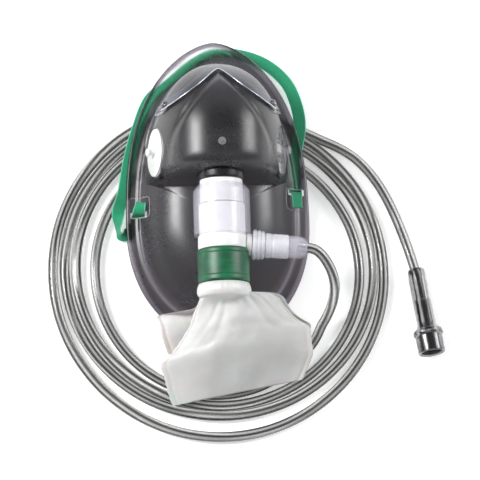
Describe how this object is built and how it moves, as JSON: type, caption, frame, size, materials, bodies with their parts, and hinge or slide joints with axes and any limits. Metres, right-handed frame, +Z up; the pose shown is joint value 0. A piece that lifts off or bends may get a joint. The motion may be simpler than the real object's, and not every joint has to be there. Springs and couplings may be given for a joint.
{
  "type": "oxygen mask with reservoir bag",
  "caption": "Clear oxygen face mask with swivelling valve, folded reservoir bag, elastic head strap and coiled supply tubing ending in a connector.",
  "frame": {"origin": "middle of the underside of the mask, valve, strap and bag, at the height of the table they lie on", "axes": "+Z up, +Y from the chin end to the nose end of the mask, +X towards the oxygen inlet"},
  "size_m": [0.2031, 0.2111, 0.0654],
  "materials": {
    "clear_vinyl": "smoky clear soft vinyl",
    "tube_vinyl": "clear soft vinyl",
    "clear_sleeve": "clear gloss",
    "frosted_plastic": "frosted",
    "white_plastic": "satin",
    "silicone": "soft",
    "green_plastic": "gloss",
    "green_elastic": "ribbed elastic",
    "bag_film": "translucent film",
    "aluminium": "brushed"
  },
  "bodies": {
    "mask": {"mask_shell": "clear_vinyl", "nose_clip": "aluminium", "nose_clip_stud_left": "clear_vinyl", "nose_clip_stud_right": "clear_vinyl", "exhalation_port_left": "white_plastic", "exhalation_port_right": "clear_sleeve", "port_neck": "white_plastic", "port_sleeve": "clear_sleeve", "head_strap": "green_elastic", "reservoir_bag": "bag_film", "tubing_lead": "tube_vinyl", "tubing_coil": "tube_vinyl", "tubing_tail": "tube_vinyl", "supply_connector": "clear_vinyl"},
    "exhalation_flap": {"exhalation_flap": "silicone"},
    "valve_assembly": {"valve_housing": "white_plastic", "inhalation_seat": "white_plastic", "green_band": "green_plastic", "bag_collar": "bag_film", "inlet_stem": "white_plastic", "inlet_collar": "frosted_plastic", "inlet_barrel": "frosted_plastic", "inlet_socket": "clear_sleeve"},
    "inhalation_flap": {"inhalation_flap": "silicone"}
  },
  "joints": [
    {"name": "valve_swivel", "type": "hinge", "parent": "mask", "child": "valve_assembly", "pos_m": [0.0034, -0.02272, 0.04131], "axis": [0, 0.9969, 0.0785], "range_deg": [-30, 12]},
    {"name": "exhalation_flap_lift", "type": "slide", "parent": "mask", "child": "exhalation_flap", "axis": [-0.9613, -0.0216, 0.2748], "range_m": [0, 0.0012], "stiffness_N_per_m": 20},
    {"name": "inhalation_flap_lift", "type": "slide", "parent": "valve_assembly", "child": "inhalation_flap", "axis": [0, 0.9969, 0.0785], "range_m": [0, 0.0012], "stiffness_N_per_m": 20}
  ]
}
